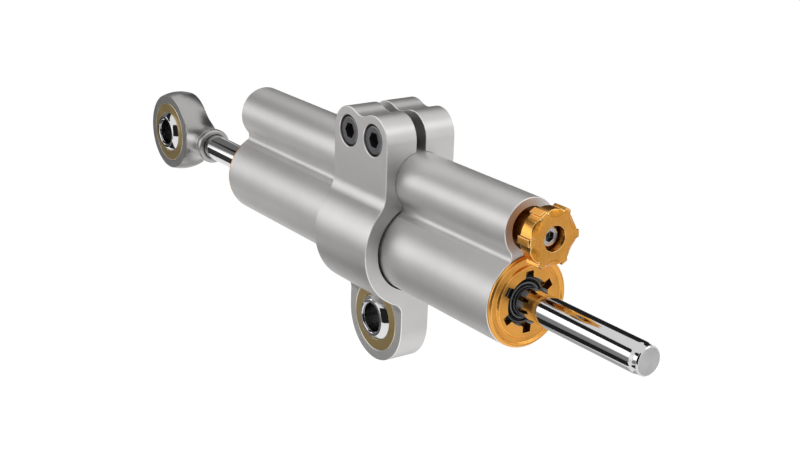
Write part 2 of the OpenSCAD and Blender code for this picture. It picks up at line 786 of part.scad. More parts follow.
// Head of the knob: lobes on a disc, with a conical bite out of its face between each two of them.
module knob_head() {
    run_out = 1.15;
    fall = run_out * (knob_waist_r + knob_bite_r - knob_bite_at);
    depth = run_out * knob_bite_d;
    difference() {
        union() {
            knob_disc(knob_waist_r);
            intersection() {
                knob_disc(knob_r);
                for (i = [0 : knob_lobes - 1]) rotate([0, 0, i * 360 / knob_lobes])
                    translate([knob_waist_r / 2, -knob_lobe_w / 2, -cut])
                    cube([knob_r, knob_lobe_w, knob_t + 2 * cut]);
            }
        }
        for (i = [0 : knob_lobes - 1]) rotate([0, 0, (i + 0.5) * 360 / knob_lobes])
            translate([knob_bite_at, 0, knob_t - depth])
            cylinder(r1 = knob_bite_r - fall, r2 = knob_bite_r + fall * cut / depth, h = depth + cut);
    }
}

// Places a piece of the adjuster on the axis of the valve tube, z = 0 on the tube's end face.
module at_adjuster(z) {
    along_x(body_x1 + z, tube_z) children();
}

module adjuster_knob() {
    color("goldenrod")
    at_adjuster(0) difference() {
        union() {
            translate([0, 0, head_z]) rotate([0, 0, 90]) knob_head();
            translate([0, 0, -barrel_in]) cylinder(r = barrel_r, h = barrel_in + head_z + cut);
        }
        translate([0, 0, recess_z]) cylinder(r = recess_r, h = recess_d + cut);
        translate([0, 0, -barrel_in]) cylinder(r = knob_screw_r + screw_room, h = recess_z + barrel_in + cut);
        translate([0, 0, -barrel_in - cut])
            d_shaft(shaft_r + seat_gap, shaft_flat + seat_gap, recess_z - knob_floor + barrel_in + cut);
    }
}

module knob_screw() {
    edge = 0.4;
    color("silver")
    at_adjuster(recess_z) difference() {
        union() {
            translate([0, 0, -knob_screw_len]) cylinder(r = knob_screw_r, h = knob_screw_len + cut);
            rounded_head(knob_head_r, knob_head_h, edge);
        }
        translate([0, 0, knob_head_h]) hex_socket(knob_socket, knob_head_h / 2);
    }
}

module adjuster_shaft() {
    top = recess_z - knob_floor - end_play;
    dimple_z = flange_z + flange_t + 0.75 * detent_r;
    color("gray")
    at_adjuster(0) difference() {
        union() {
            translate([0, 0, nut_z]) cylinder(r = nut_r, h = nut_len + cut);
            translate([0, 0, flange_z]) cylinder(r = flange_r, h = flange_t);
            translate([0, 0, flange_z]) cylinder(r = shaft_r, h = -barrel_in - flange_z);
            translate([0, 0, flange_z]) d_shaft(shaft_r, shaft_flat, top - flange_z);
        }
        translate([0, 0, recess_z - knob_screw_len - cut])
            cylinder(r = knob_screw_r + seat_gap, h = knob_screw_len + 2 * cut);
        translate([0, 0, nut_z - cut]) cylinder(r = needle_r + run_gap, h = nut_len + flange_t / 2 + cut);
        for (i = [0 : detent_n - 1]) rotate([0, 0, i * 360 / detent_n])
            translate([detent_at, 0, dimple_z]) sphere(r = detent_r, $fn = 32);
    }
}

// Groove for an outer O-ring of the small size, middle at z = 0.
module small_groove() {
    difference() {
        cylinder(r = tube_bore_r + cut, h = groove_w * small_cord_r, center = true);
        cylinder(r = tube_bore_r - groove_d * small_cord_r, h = groove_w * small_cord_r, center = true);
    }
}

// O-ring that fits the groove above.
module small_ring() {
    o_ring(tube_bore_r - cord_at * small_cord_r, cord_fit * small_cord_r);
}

// Middle of both O-rings of the adjuster bush
bush_ring_z = adjust_z1 - groove_w * small_cord_r - 0.1;

module adjuster_bush() {
    color("goldenrod")
    at_adjuster(0) difference() {
        translate([0, 0, adjust_z0]) cylinder(r = tube_bore_r - seat_gap, h = adjust_len);
        translate([0, 0, adjust_z0 - cut]) cylinder(r = shaft_r + run_gap, h = adjust_len + 2 * cut);
        translate([0, 0, adjust_z0 - cut])
            cylinder(r = flange_r + screw_room, h = bearing_z - adjust_z0 + cut);
        translate([0, 0, bush_ring_z]) small_groove();
        translate([0, 0, bush_ring_z])
            cylinder(r = shaft_r + groove_d * small_cord_r, h = groove_w * small_cord_r, center = true);
        translate([0, detent_at, bearing_z - cut]) cylinder(r = detent_r + run_gap, h = detent_pocket + cut);
    }
}

module adjuster_o_rings() {
    color("#202020")
    at_adjuster(bush_ring_z) {
        small_ring();
        o_ring(shaft_r + run_gap + 0.88 * small_cord_r, (cord_fit - run_gap) * small_cord_r);
    }
}

// Middle of the detent ball, which rests in a dimple of the flange
ball_z = bearing_z - end_play + detent_r + seat_gap;

module detent_ball() {
    color("gainsboro")
    at_adjuster(ball_z) translate([0, detent_at, 0]) sphere(r = detent_r);
}

module metering_needle() {
    thread_z = key_z + key_len;
    point_r = 0.3;
    point_len = 2 * stem_r;
    point_z = cone_z + 0.6 - point_len;
    color("gainsboro")
    at_adjuster(0) {
        translate([0, 0, key_z]) flatted(key_r, key_flat, key_len);
        translate([0, 0, thread_z - blend]) cylinder(r = needle_r, h = flange_z - needle_travel - thread_z);
        translate([0, 0, point_z + point_len]) cylinder(r = stem_r, h = key_z - point_z - point_len + blend);
        translate([0, 0, point_z]) cylinder(r1 = point_r, r2 = stem_r, h = point_len);
    }
}

module valve_seat() {
    cone_d = 0.8;
    neck_d = 0.8;
    pocket_len = adjust_z0 - key_pocket_z + cut;
    color("darkkhaki")
    at_adjuster(0) difference() {
        translate([0, 0, seat_z]) cylinder(r = tube_bore_r - seat_gap, h = adjust_z0 - seat_z);
        translate([0, 0, key_pocket_z]) flatted(key_r + run_gap, key_flat + run_gap, pocket_len);
        translate([0, 0, cone_z]) cylinder(r = seat_bore_r, h = key_pocket_z - cone_z + cut);
        translate([0, 0, cone_z - cone_d]) cylinder(r1 = orifice_r, r2 = seat_bore_r, h = cone_d);
        translate([0, 0, seat_z - cut]) cylinder(r = orifice_r, h = cone_z - seat_z + cut);
        translate([0, 0, seat_port_z]) for (turn = [0, 90]) rotate([90, 0, turn])
            cylinder(r = 0.8 * port_r, h = 3 * tube_bore_r, center = true);
        translate([0, 0, seat_port_z]) difference() {
            cylinder(r = tube_bore_r + cut, h = 2 * port_r, center = true);
            cylinder(r = tube_bore_r - neck_d, h = 2 * port_r, center = true);
        }
        translate([0, 0, seat_ring_z]) small_groove();
    }
}

module valve_seat_o_ring() {
    color("#202020")
    at_adjuster(seat_ring_z) small_ring();
}

module reservoir_plug() {
    dimple_r = 0.45 * tube_bore_r;
    dimple_d = 1;
    color("silver")
    along_x(plug_x, tube_z) difference() {
        cylinder(r = tube_bore_r - seat_gap, h = plug_len);
        translate([0, 0, plug_len / 2]) small_groove();
        translate([0, 0, -cut]) cylinder(r = dimple_r, h = cut + dimple_d);
    }
}

module plug_o_ring() {
    color("#202020")
    along_x(plug_x + plug_len / 2, tube_z) small_ring();
}

module reservoir_circlip() {
    outer = tube_bore_r + clip_depth - seat_gap;
    mouth = 0.7 * outer;
    color("dimgray")
    along_x(clip_x, tube_z) difference() {
        tube(outer, outer - clip_w, clip_t);
        translate([-2 * outer, -mouth / 2, -cut]) cube([2 * outer, mouth, clip_t + 2 * cut]);
    }
}

module separator_piston() {
    color("silver")
    along_x(separator_x, tube_z) difference() {
        union() {
            cylinder(r = tube_bore_r - run_gap, h = separator_len);
            translate([0, 0, -spigot_len]) cylinder(r = spigot_r, h = spigot_len + cut);
        }
        translate([0, 0, separator_len / 2]) small_groove();
    }
}

module separator_o_ring() {
    color("#202020")
    along_x(separator_x + separator_len / 2, tube_z)
        o_ring(tube_bore_r - cord_at * small_cord_r - run_gap, (cord_fit - 0.04) * small_cord_r);
}

// Round wire wound into a helix along z, from 0 to length, with its ends cut square to the wire.
module wire_spring(radius, wire, turns, length) {
    per_turn = 8;
    sides = 6;
    steps = turns * per_turn;
    pitch = (length - 2 * wire) / turns;
    slope = atan2(pitch, 2 * PI * radius);
    ring = [for (i = [0 : steps]) let (a = i * 360 / per_turn, h = wire + i * pitch / per_turn)
        [for (k = [0 : sides - 1]) let (b = k * 360 / sides, out = radius + wire * cos(b), up = wire * sin(b))
            [out * cos(a) + up * sin(slope) * sin(a), out * sin(a) - up * sin(slope) * cos(a),
                h + up * cos(slope)]]];
    points = [for (r = ring) for (p = r) p];
    walls = [for (i = [0 : steps - 1]) for (k = [0 : sides - 1])
        let (a = i * sides + k, b = i * sides + (k + 1) % sides, c = a + sides, d = b + sides)
        each [[a, c, b], [b, c, d]]];
    first = [for (k = [1 : sides - 2]) [0, k, k + 1]];
    last = [for (k = [1 : sides - 2]) [steps * sides, steps * sides + k + 1, steps * sides + k]];
    polyhedron(points, concat(walls, first, last));
}

module compensator_spring() {
    color("gray")
    along_x(spring_x0, tube_z) wire_spring(spring_r, spring_wire_r, spring_turns, spring_x1 - spring_x0);
}

module detent_spring() {
    low = ball_z + detent_r + seat_gap;
    wire = 0.13;
    turns = 3;
    color("gray")
    at_adjuster(low) translate([0, detent_at, 0])
        wire_spring(0.68 * detent_r, wire, turns, bearing_z + detent_pocket - low);
}

clamp_bracket();
clamp_screws();
lug_race();
lug_ball();
damper_body();
front_gland();
rear_gland();
gland_o_rings();
rod_bushes();
rod_seals();
seal_washers();
front_wiper();
rear_wiper();
piston_rod();
piston();
piston_band();
piston_o_ring();
snap_rings();
rod_end();
rod_end_race();
rod_end_ball();
adjuster_knob();
knob_screw();
adjuster_shaft();
adjuster_bush();
adjuster_o_rings();
metering_needle();
valve_seat();
valve_seat_o_ring();
detent_ball();
detent_spring();
reservoir_plug();
plug_o_ring();
reservoir_circlip();
separator_piston();
separator_o_ring();
compensator_spring();
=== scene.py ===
import math

import bmesh
import bpy
from mathutils import Matrix, Vector


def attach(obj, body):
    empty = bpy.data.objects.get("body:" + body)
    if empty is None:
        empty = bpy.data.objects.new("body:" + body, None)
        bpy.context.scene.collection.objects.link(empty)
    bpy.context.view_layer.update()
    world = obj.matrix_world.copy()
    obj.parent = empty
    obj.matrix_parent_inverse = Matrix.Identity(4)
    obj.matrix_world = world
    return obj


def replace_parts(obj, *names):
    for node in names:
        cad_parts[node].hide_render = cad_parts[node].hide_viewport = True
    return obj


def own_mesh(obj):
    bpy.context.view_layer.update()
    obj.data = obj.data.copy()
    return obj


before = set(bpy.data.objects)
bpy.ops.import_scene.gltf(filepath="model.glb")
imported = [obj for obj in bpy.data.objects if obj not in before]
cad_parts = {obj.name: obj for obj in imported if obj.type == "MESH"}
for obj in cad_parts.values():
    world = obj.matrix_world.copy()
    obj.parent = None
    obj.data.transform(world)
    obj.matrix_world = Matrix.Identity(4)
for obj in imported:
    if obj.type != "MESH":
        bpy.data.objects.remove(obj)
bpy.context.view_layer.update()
print("frame loaded:", len(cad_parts), "nodes")

# A linear steering damper in a bright studio. Lengths in the dictionaries are millimetres.
mm = 0.001
mainZ = 23.7  # height of the main cylinder's axis
tubeZ = 42.55  # height of the valve tube's axis
eyeX = -125.1  # the rod end's bearing lies at this X
bodyEnds = (-69.4, 58.1)  # X of the body's rear and front face
mergeGap = 0.002  # corners closer than this are one


def addNode(tree, kind, settings=(), inputs=(), output=0):
    # settings are set first, then each input gets a number or a link
    node = tree.nodes.new(kind)
    for key, setting in dict(settings).items():
        setattr(node, key, setting)
    for key, item in dict(inputs).items():
        if isinstance(item, Value):
            tree.links.new(item.socket, node.inputs[key])
        else:
            node.inputs[key].default_value = item
    return Value(tree, node.outputs[output])


class Value:
    # one socket of a material, so that shader maths is written as maths
    def __init__(self, tree, socket):
        self.tree = tree
        self.socket = socket

    def work(self, operation, first, second):
        return addNode(self.tree, "ShaderNodeMath", {"operation": operation}, {0: first, 1: second})

    def __add__(self, other):
        return self.work("ADD", self, other)

    def __radd__(self, other):
        return self.work("ADD", other, self)

    def __mul__(self, other):
        return self.work("MULTIPLY", self, other)

    def __rmul__(self, other):
        return self.work("MULTIPLY", other, self)


class Finish:
    # a material with one Principled shader
    def __init__(self, name, metallic):
        self.material = bpy.data.materials.new(name)
        self.material.use_nodes = True
        self.tree = self.material.node_tree
        self.shader = self.tree.nodes["Principled BSDF"]
        self.shader.inputs["Metallic"].default_value = metallic
        self.place = self.node("ShaderNodeTexCoord", output="Object")

    def node(self, kind, settings=(), inputs=(), output=0):
        return addNode(self.tree, kind, settings, inputs, output)

    def noise(self, grain, detail=3.0, rough=0.5, stretch=(1, 1, 1)):
        # grain is the size of the pattern in millimetres
        place = self.node("ShaderNodeMapping", inputs={"Vector": self.place, "Scale": stretch})
        return self.node("ShaderNodeTexNoise", inputs={
            "Vector": place, "Scale": 1 / (grain * mm), "Detail": detail, "Roughness": rough})

    def away(self, axis, centre):
        # distance in millimetres from a line along the axis through centre
        parts = self.node("ShaderNodeVectorMath", {"operation": "SUBTRACT"},
                          {0: self.place, 1: Vector(centre) * mm})
        flat = [0.0 if k == "XYZ".index(axis) else 1 / mm for k in range(3)]
        parts = self.node("ShaderNodeVectorMath", {"operation": "MULTIPLY"}, {0: parts, 1: flat})
        return self.node("ShaderNodeVectorMath", {"operation": "LENGTH"}, {0: parts}, "Value")

    def wave(self, value, pitch):
        # 0 to 1 and back, once every pitch millimetres
        turns = value * (2 * math.pi / pitch)
        return self.node("ShaderNodeMath", {"operation": "SINE"}, {0: turns}) * 0.5 + 0.5

    def span(self, value, low, high, toLow, toHigh):
        return self.node("ShaderNodeMapRange", {"clamp": True}, {
            "Value": value, "From Min": low, "From Max": high, "To Min": toLow, "To Max": toHigh})

    def spread(self, noise, toLow, toHigh):
        # a noise keeps mostly between 0.3 and 0.7
        return self.span(noise, 0.3, 0.7, toLow, toHigh)

    def blendColour(self, share, one, two):
        return self.node("ShaderNodeMix", {"data_type": "RGBA"}, {0: share, 6: one, 7: two}, 2)

    def feed(self, socket, value):
        self.tree.links.new(value.socket, self.shader.inputs[socket])

    def bump(self, height, depth):
        # depth is in millimetres
        self.feed("Normal", self.node("ShaderNodeBump", inputs={
            "Height": height, "Strength": 1.0, "Distance": depth * mm}, output="Normal"))


def shade(level, warm=0.0):
    return (level * (1 + warm), level, level * (1 - warm), 1.0)


def scaled(colour, factor, lift=0.0):
    return [min(1.0, part * factor + lift) for part in colour[:3]] + [1.0]


# in each of the next four: sizes of the patterns, change of tone and gloss, depth of the relief
blast = {"grain": 0.16, "cloud": 14.0, "warm": 0.015, "contrast": 0.05, "uneven": 0.05, "depth": 0.006}


def blastedAlloy(name, level, rough):
    # bead-blasted and clear anodised: fine even grain, faint cloudiness
    finish = Finish(name, 1.0)
    grain = finish.noise(blast["grain"], 2.0, 0.6)
    cloud = finish.noise(blast["cloud"])
    dark = shade(level * (1 - blast["contrast"]), blast["warm"])
    light = shade(level * (1 + blast["contrast"]), blast["warm"])
    finish.feed("Base Color", finish.blendColour(finish.spread(cloud * 0.7 + grain * 0.3, 0, 1), dark, light))
    finish.feed("Roughness", finish.spread(grain, rough - blast["uneven"], rough + blast["uneven"]))
    finish.bump(grain, blast["depth"])
    return finish.material


turning = {"pitch": 0.22, "cloud": 5.0, "scratch": 0.2, "darkest": 0.86, "uneven": (-0.04, 0.06),
           "depth": 0.002}


def turnedAlloy(name, colour, rough, axis, centre):
    # turned rings round an axis, under an even film
    finish = Finish(name, 1.0)
    rings = finish.wave(finish.away(axis, centre), turning["pitch"])
    cloud = finish.noise(turning["cloud"])
    dark = scaled(colour, turning["darkest"])
    low, high = turning["uneven"]
    finish.feed("Base Color", finish.blendColour(finish.spread(cloud, 0, 1), dark, colour))
    finish.feed("Roughness", finish.span(cloud + rings * 0.3, 0.3, 1.0, rough + low, rough + high))
    finish.bump(rings * 0.6 + finish.noise(turning["scratch"]) * 0.4, turning["depth"])
    return finish.material


grinding = {"grain": 0.5, "darkest": 0.94, "uneven": 0.03, "depth": 0.0004}


def polished(name, level, rough, stretch=(1, 1, 1)):
    # ground and polished hard chrome with the faintest grinding marks
    finish = Finish(name, 1.0)
    marks = finish.noise(grinding["grain"], 4.0, 0.6, stretch)
    finish.feed("Base Color", finish.blendColour(marks, shade(level * grinding["darkest"]), shade(level)))
    finish.feed("Roughness", finish.spread(marks, rough, rough + grinding["uneven"]))
    finish.bump(marks, grinding["depth"])
    return finish.material


speckling = {"lightest": 1.25, "lift": 0.002, "uneven": 0.06}


def plain(name, colour, rough, metal=0.0, grain=0.3, depth=0.003):
    # moulded, blackened or plain machined surfaces
    finish = Finish(name, metal)
    speckle = finish.noise(grain, 4.0)
    light = scaled(colour, speckling["lightest"], speckling["lift"])
    finish.feed("Base Color", finish.blendColour(speckle, scaled(colour, 1), light))
    finish.feed("Roughness", finish.spread(speckle, rough - speckling["uneven"], rough + speckling["uneven"]))
    finish.bump(speckle, depth)
    return finish.material


print("materials")
gold = (0.86, 0.40, 0.08, 1.0)
bronze = (0.46, 0.34, 0.15, 1)
onMain = {"axis": "X", "centre": (0, 0, mainZ)}
onTube = {"axis": "X", "centre": (0, 0, tubeZ)}
finishes = {
    "bodyAlloy": blastedAlloy("bodyAlloy", level=0.62, rough=0.49),
    "clampAlloy": blastedAlloy("clampAlloy", level=0.58, rough=0.43),
    "eyeAlloy": blastedAlloy("eyeAlloy", level=0.40, rough=0.34),
    "goldFront": turnedAlloy("goldFront", gold, rough=0.34, **onMain),
    "goldKnob": turnedAlloy("goldKnob", gold, rough=0.27, **onTube),
    "plainAlloy": turnedAlloy("plainAlloy", shade(0.66), rough=0.3, **onTube),
    "bushAlloy": turnedAlloy("bushAlloy", (0.16, 0.10, 0.06, 1), rough=0.4, **onTube),
    "pistonAlloy": turnedAlloy("pistonAlloy", shade(0.62), rough=0.3, **onMain),
    "rodChrome": polished("rodChrome", level=0.62, rough=0.05, stretch=(6, 1, 1)),
    "ballChrome": polished("ballChrome", level=0.68, rough=0.04),
    "raceLug": turnedAlloy("raceLug", bronze, rough=0.36, axis="Y", centre=(0, 0, 0)),
    "raceEye": turnedAlloy("raceEye", bronze, rough=0.36, axis="Y", centre=(eyeX, 0, mainZ)),
    # each edge finish here, for the alloy, eye, gold, knob, race and screw, is lighter than its face: a painted
    # highlight on the broken edges
    "alloyEdgeHighlight": blastedAlloy("alloyEdgeHighlight", level=0.82, rough=0.3),
    "eyeEdgeHighlight": blastedAlloy("eyeEdgeHighlight", level=0.5, rough=0.3),
    "goldEdgeHighlight": turnedAlloy("goldEdgeHighlight", (0.92, 0.5, 0.13, 1), rough=0.22, **onMain),
    "knobEdgeHighlight": turnedAlloy("knobEdgeHighlight", (1.0, 0.64, 0.24, 1), rough=0.2, **onTube),
    # a darker gold painted as shade on the knob's bites
    "biteGoldShade": turnedAlloy("biteGoldShade", (0.60, 0.25, 0.035, 1), rough=0.3, **onTube),
    # a dark gold painted as shade inside the gland's wrench slots
    "slotGoldShade": plain("slotGoldShade", (0.16, 0.08, 0.03), rough=0.45, metal=1),
    "mouthAlloy": plain("mouthAlloy", (0.66, 0.66, 0.65), rough=0.4, metal=0.3),
    "raceEdgeHighlight": plain("raceEdgeHighlight", (0.75, 0.66, 0.46), rough=0.25, metal=1),
    "rodFace": turnedAlloy("rodFace", shade(0.64), rough=0.34, **onMain),
    "screwEdgeHighlight": plain("screwEdgeHighlight", (0.24, 0.24, 0.25), rough=0.3, metal=1),
    # a dark steel painted as shade in the balls' bolt holes
    "boreShadeSteel": plain("boreShadeSteel", (0.14, 0.14, 0.145), rough=0.25, metal=1),
    "bushBronze": plain("bushBronze", (0.42, 0.27, 0.12), rough=0.4, metal=1),
    "valveBrass": plain("valveBrass", (0.55, 0.42, 0.18), rough=0.3, metal=1),
    "screwSteel": plain("screwSteel", (0.13, 0.13, 0.135), rough=0.38, metal=1, grain=0.25),
    "brightSteel": plain("brightSteel", (0.5, 0.5, 0.51), rough=0.28, metal=1, grain=0.25),
    "sealRubber": plain("sealRubber", (0.012, 0.012, 0.013), rough=0.5),
    "wiperGloss": plain("wiperGloss", (0.008, 0.008, 0.009), rough=0.2, grain=0.6, depth=0.001),
    # a lighter grey for the wiper's ridges, painted as a highlight
    "wiperRidgeHighlight": plain("wiperRidgeHighlight", (0.13, 0.14, 0.15), rough=0.28, grain=0.6, depth=0.001),
    "bandPlastic": plain("bandPlastic", (0.20, 0.12, 0.06), rough=0.5),
}


def dress(piece, body, finish, slot, *others):
    # gives a piece its materials and body; the others are for its broken edges and its zones
    for name in (finish,) + others:
        piece.data.materials.append(finishes[name])
    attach(piece, body)
    return piece


def settle(bm, name, sharpAngle=35):
    # turns a bmesh into an object at the origin with clean outward normals
    bmesh.ops.remove_doubles(bm, verts=bm.verts, dist=mergeGap * mm)
    bmesh.ops.recalc_face_normals(bm, faces=bm.faces)
    mesh = bpy.data.meshes.new(name)
    for face in bm.faces:
        face.smooth = True
    for edge in bm.edges:
        if len(edge.link_faces) == 2 and edge.calc_face_angle() > math.radians(sharpAngle):
            edge.smooth = False
    bm.to_mesh(mesh)
    bm.free()
    piece = bpy.data.objects.new(name, mesh)
    bpy.context.scene.collection.objects.link(piece)
    return piece


def refined(node, name, edge, angle=30, reshape=None, zone=None, merge=mergeGap):
    # a merged copy of a CAD node whose edges sharper than angle are broken, in the second material, which for
    # most pieces is a lighter colour painted as a highlight
    bm = bmesh.new()
    bm.from_mesh(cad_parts[node].data)
    bmesh.ops.remove_doubles(bm, verts=bm.verts, dist=merge * mm)
    bmesh.ops.dissolve_limit(bm, angle_limit=math.radians(0.4), verts=bm.verts, edges=bm.edges)
    if reshape:
        reshape(bm)
    bm.normal_update()
    if zone:
        for face in bm.faces:
            face.material_index = zone(face.calc_center_median() / mm, face.normal)
    piece = settle(bm, name, 180)
    bevel = piece.modifiers.new("edgeBreak", "BEVEL")
    bevel.width = edge * mm
    bevel.segments = 2
    bevel.limit_method = "ANGLE"
    bevel.angle_limit = math.radians(angle)
    bevel.use_clamp_overlap = False
    bevel.harden_normals = True
    bevel.material = 1
    flats = piece.modifiers.new("flatNormals", "WEIGHTED_NORMAL")
    flats.mode = "FACE_AREA"
    flats.weight = 50
    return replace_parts(piece, node)


def turned(profile, name, steps, centre, flip):
    # a closed profile of (height, radius) in millimetres, spun round X; flip turns it end for end
    bm = bmesh.new()
    corners = [bm.verts.new((0, radius * mm, height * mm)) for height, radius in profile]
    edges = [bm.edges.new(pair) for pair in zip(corners, corners[1:] + corners[:1])]
    bmesh.ops.spin(bm, geom=corners + edges, cent=(0, 0, 0), axis=(0, 0, 1), angle=2 * math.pi,
                   steps=steps, use_merge=True)
    turn = Matrix.Rotation(math.pi / 2, 4, "Y")
    if flip:
        turn = turn @ Matrix.Rotation(math.pi, 4, "X")
    bmesh.ops.transform(bm, matrix=Matrix.Translation(Vector(centre) * mm) @ turn, verts=bm.verts)
    return settle(bm, name)


def rounded(profile, radius, parts):
    # softens each corner of a closed profile with a curve in so many parts
    made = []
    count = len(profile)
    for index, corner in enumerate(profile):
        here = Vector(corner)
        before = Vector(profile[index - 1]) - here
        after = Vector(profile[(index + 1) % count]) - here
        half = before.angle(after) / 2
        reach = min(radius / math.tan(half), 0.45 * before.length, 0.45 * after.length)
        start = here + before.normalized() * reach
        end = here + after.normalized() * reach
        for part in range(parts + 1):
            share = part / parts
            made.append(tuple(start * (1 - share) ** 2 + here * 2 * share * (1 - share) + end * share ** 2))
    return made


def coil(name, facts):
    # a round wire wound along X, from a circle that is spun with a step along the axis
    bm = bmesh.new()
    turn = Matrix.Translation((facts["radius"] * mm, 0, 0)) @ Matrix.Rotation(math.pi / 2, 4, "X")
    made = bmesh.ops.create_circle(bm, cap_ends=True, segments=facts["around"], radius=facts["wire"] * mm,
                                   matrix=turn)
    steps = facts["turns"] * facts["perTurn"]
    rise = (facts["ends"][1] - facts["ends"][0] - 2 * facts["wire"]) * mm / steps
    bmesh.ops.spin(bm, geom=made["verts"] + list(bm.edges) + list(bm.faces), cent=(0, 0, 0), axis=(0, 0, 1),
                   dvec=(0, 0, rise), angle=2 * math.pi * facts["turns"], steps=steps)
    place = Matrix.Translation(Vector((facts["ends"][0] + facts["wire"], 0, facts["height"])) * mm)
    bmesh.ops.transform(bm, matrix=place @ Matrix.Rotation(math.pi / 2, 4, "Y"), verts=bm.verts)
    return settle(bm, name, 60)


print("camera and studio")
camera = {"aim": (35.7, -22.8, 40.45), "azimuth": 54.18, "elevation": 18.59, "roll": 2.0,
          "distance": 367.2, "lens": 67.24, "sensor": 36, "nearest": 10}


def outwards(azimuth, elevation):
    # the direction in which a camera or light at these angles stands, in radians
    return Vector((math.sin(azimuth) * math.cos(elevation), -math.cos(azimuth) * math.cos(elevation),
                   math.sin(elevation)))


def setCamera(facts):
    azimuth, elevation, roll = (math.radians(facts[key]) for key in ("azimuth", "elevation", "roll"))
    right = Vector((math.cos(azimuth), math.sin(azimuth), 0))
    back = outwards(azimuth, elevation)
    up = back.cross(right)
    across = right * math.cos(roll) + up * math.sin(roll)
    upright = up * math.cos(roll) - right * math.sin(roll)
    lens = bpy.data.cameras.new("camera")
    lens.lens = facts["lens"]
    lens.sensor_width = facts["sensor"]
    lens.clip_start = facts["nearest"] * mm
    holder = bpy.data.objects.new("camera", lens)
    bpy.context.scene.collection.objects.link(holder)
    place = Matrix((across, upright, back)).transposed().to_4x4()
    place.translation = (Vector(facts["aim"]) + back * facts["distance"]) * mm
    holder.matrix_world = place
    bpy.context.scene.camera = holder


setCamera(camera)

whiteLight = (1, 1, 1, 1)
studio = {"floorDrop": 420.0, "floorSize": 8000.0, "floorLevel": 0.9, "floorGlow": 0.35, "ambient": 0.75,
          "middle": (60.0, -3.0, 28.0)}
# direction is (azimuth, elevation) as a camera's, size is across and up, far is the distance: degrees and mm
softboxes = {
    "frontStrip": {"direction": (-48, 10.5), "size": (480, 370), "far": 850, "glow": 0.95},
    "backRight": {"direction": (132, 42), "size": (420, 320), "far": 900, "glow": 1.3},
    "frontFill": {"direction": (-8, 5), "size": (700, 500), "far": 1000, "glow": 0.3},
    "rightFill": {"direction": (106, -14), "size": (300, 300), "far": 900, "glow": 1.1},
}
# level is the grey that metal sees where a card hangs
cards = {
    "backLeft": {"direction": (-133.5, 19), "size": (460, 560), "far": 700, "level": 0.02},
    "leftGap": {"direction": (-62, 31.5), "size": (590, 195), "far": 700, "level": 0.02},
    "lowLeft": {"direction": (-44, -17), "size": (170, 120), "far": 300, "level": 0.3},
    "belowLeft": {"direction": (-60, -38), "size": (240, 160), "far": 380, "level": 0.02},
    "farLeft": {"direction": (-70, -11), "size": (170, 230), "far": 640, "level": 0.05},
    "lowMiddle": {"direction": (-104, -46), "size": (240, 190), "far": 450, "level": 0.5},
    "lowBack": {"direction": (-132, -36), "size": (260, 240), "far": 480, "level": 0.55},
    "lowRight": {"direction": (138, -22), "size": (250, 230), "far": 500, "level": 0.5},
    "leftEnd": {"direction": (-90, 6), "size": (600, 640), "far": 700, "level": 0.2},
    "front": {"direction": (38, 10), "size": (900, 900), "far": 750, "level": 0.02},
}


def showWhite(tree, lit, white, output):
    # camera, glossy and transmission rays see white; all other light comes from the lit shader
    share = addNode(tree, "ShaderNodeLightPath", output="Is Camera Ray")
    for ray in ("Is Glossy Ray", "Is Transmission Ray"):
        share = share.work("MAXIMUM", share, addNode(tree, "ShaderNodeLightPath", output=ray))
    mix = addNode(tree, "ShaderNodeMixShader", inputs={0: share, 1: lit, 2: white})
    tree.links.new(mix.socket, tree.nodes[output].inputs["Surface"])


def setWorld():
    world = bpy.data.worlds.new("studio")
    bpy.context.scene.world = world
    world.use_nodes = True
    tree = world.node_tree
    ambient = tree.nodes["Background"]
    ambient.inputs["Color"].default_value = whiteLight
    ambient.inputs["Strength"].default_value = studio["ambient"]
    white = addNode(tree, "ShaderNodeBackground", inputs={"Color": whiteLight, "Strength": 1.0})
    showWhite(tree, Value(tree, ambient.outputs[0]), white, "World Output")


def stageMaterial(name, level):
    # a dull grey of that level, and its shader
    material = bpy.data.materials.new(name)
    material.use_nodes = True
    shader = material.node_tree.nodes["Principled BSDF"]
    shader.inputs["Base Color"].default_value = shade(level)
    shader.inputs["Specular IOR Level"].default_value = 0.0
    return material, shader


def setFloor():
    bm = bmesh.new()
    bmesh.ops.create_grid(bm, x_segments=1, y_segments=1, size=studio["floorSize"] * mm / 2)
    bmesh.ops.translate(bm, vec=(0, 0, -studio["floorDrop"] * mm), verts=bm.verts)
    floor = settle(bm, "floor")
    material, shader = stageMaterial("floor", studio["floorLevel"])
    shader.inputs["Roughness"].default_value = 1.0
    tree = material.node_tree
    lit = Value(tree, shader.outputs[0])
    glow = addNode(tree, "ShaderNodeEmission", inputs={"Color": whiteLight, "Strength": studio["floorGlow"]})
    both = addNode(tree, "ShaderNodeAddShader", inputs={0: lit, 1: glow})
    showWhite(tree, lit, both, "Material Output")
    floor.data.materials.append(material)


def facing(direction, far):
    # a place that many millimetres from the middle, turned towards it
    back = outwards(*(math.radians(angle) for angle in direction))
    turn = (-back).to_track_quat("-Z", "Y").to_matrix().to_4x4()
    return Matrix.Translation((Vector(studio["middle"]) + back * far) * mm) @ turn


def addSoftbox(name, facts):
    lamp = bpy.data.lights.new(name, "AREA")
    lamp.shape = "RECTANGLE"
    lamp.size, lamp.size_y = (side * mm for side in facts["size"])
    lamp.energy = facts["glow"] * math.pi * lamp.size * lamp.size_y
    holder = bpy.data.objects.new(name, lamp)
    bpy.context.scene.collection.objects.link(holder)
    holder.matrix_world = facing(facts["direction"], facts["far"])
    holder.visible_camera = False


